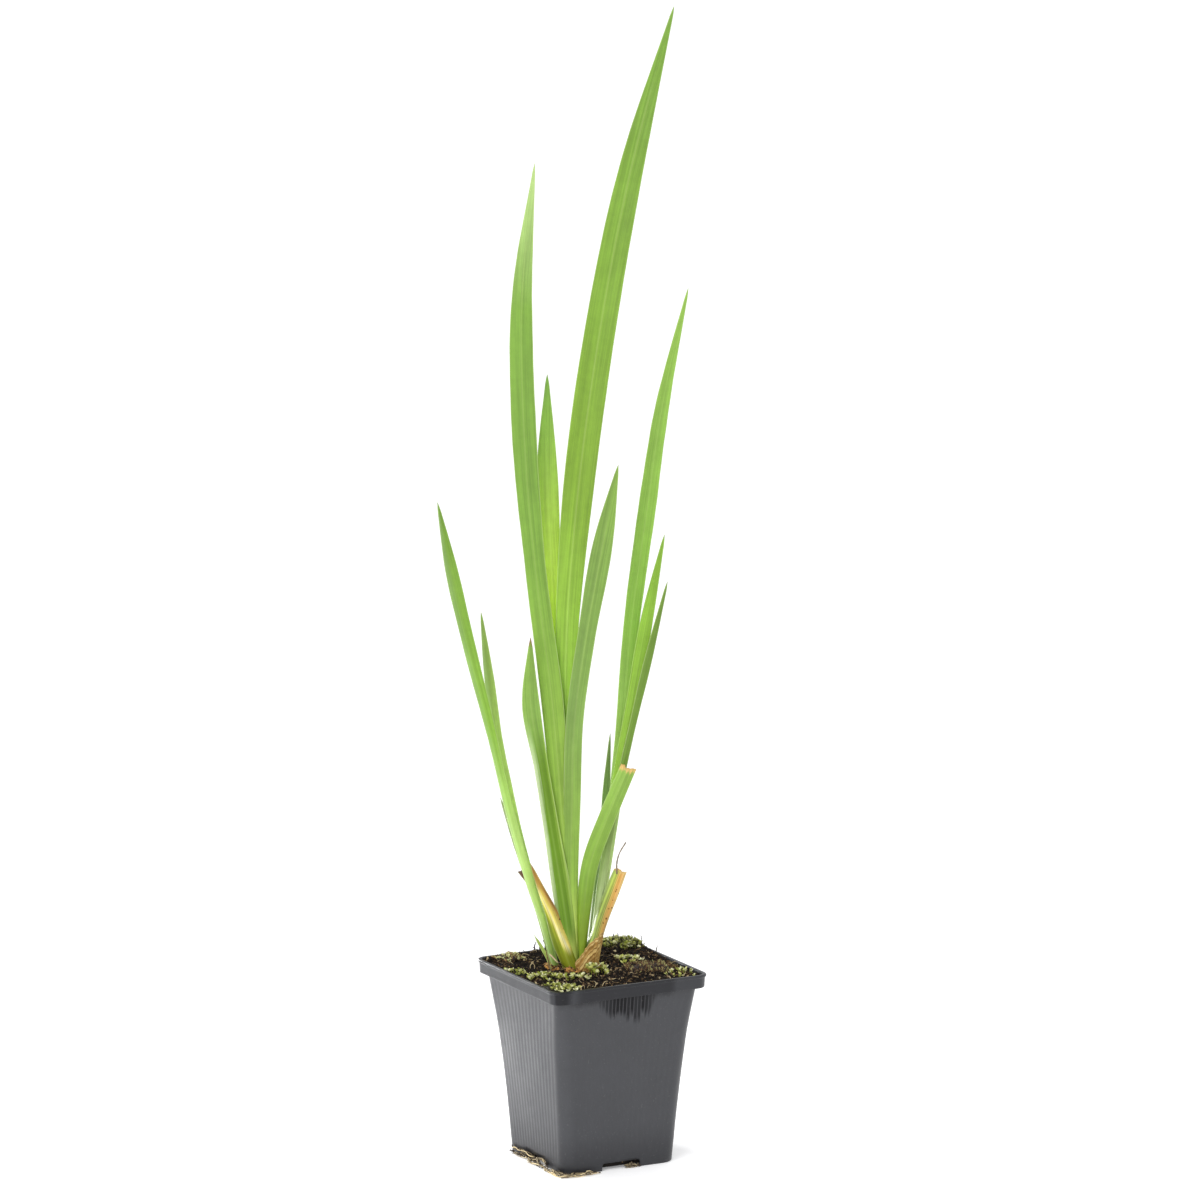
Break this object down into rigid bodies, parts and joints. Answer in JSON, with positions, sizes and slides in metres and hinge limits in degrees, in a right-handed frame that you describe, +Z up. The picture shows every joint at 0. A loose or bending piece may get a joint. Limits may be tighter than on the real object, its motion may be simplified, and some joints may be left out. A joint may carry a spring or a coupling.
{
  "type": "potted yellow flag iris",
  "caption": "Yellow flag iris: a fan of upright sword-shaped green leaves in three groups, standing in a square black nursery pot of mossy peat",
  "frame": {"origin": "centre of the pot's flat underside, the face it rests on", "axes": "+Z up along the leaves; X and Y square to the pot's sides, with the corner at -X -Y as the front corner"},
  "size_m": [0.127, 0.09, 0.5926],
  "materials": {
    "pot_plastic": "black injection-moulded polypropylene, satin, fine upright ribs, light scuffs",
    "peat": "damp dark peat with crumbs and fibres",
    "rhizome_skin": "brown fibrous rhizome skin",
    "leaf_green": "fresh waxy leaf, satin, fine lengthwise veins",
    "leaf_grey_green": "fresh leaf with a grey bloom, satin, fine lengthwise veins",
    "leaf_young_green": "young yellow-green leaf, satin",
    "sheath_yellow": "yellowing leaf sheath with brown margins",
    "sheath_brown": "dry orange-brown sheath, papery and fibrous",
    "dry_skin": "withered brown leaf skin",
    "moss_green": "low green moss",
    "moss_brown": "brown moss and peat fibres",
    "seedling_green": "pale yellow-green seedlings",
    "root_skin": "fine tan roots"
  },
  "bodies": {
    "root": {"pot": "pot_plastic", "soil": "peat", "rhizome": "rhizome_skin", "leaf_tallest": "leaf_green", "leaf_centre_right": "leaf_green", "leaf_right_tall": "leaf_green", "leaf_right_front": "leaf_green", "leaf_right_narrow": "leaf_green", "leaf_cut": "leaf_green", "leaf_left_inner": "leaf_green", "leaf_second": "leaf_grey_green", "leaf_front": "leaf_grey_green", "leaf_right_small": "leaf_grey_green", "leaf_left_outer": "leaf_grey_green", "leaf_left_small": "leaf_grey_green", "leaf_young": "leaf_young_green", "leaf_sprout": "leaf_young_green", "sheath_left": "sheath_yellow", "sheath_right": "sheath_brown", "sheath_withered": "dry_skin", "withered_thread": "dry_skin", "moss_mound": "moss_green", "moss_corner": "moss_green", "moss_patch": "moss_brown", "moss_left": "moss_brown", "seedlings_front": "seedling_green", "seedlings_middle": "seedling_green", "seedlings_bright": "seedling_green", "seedlings_right": "seedling_green", "seedlings_rim": "seedling_green", "seedlings_left": "seedling_green", "roots_left": "root_skin", "roots_front": "root_skin", "roots_right": "root_skin"}
  },
  "joints": []
}
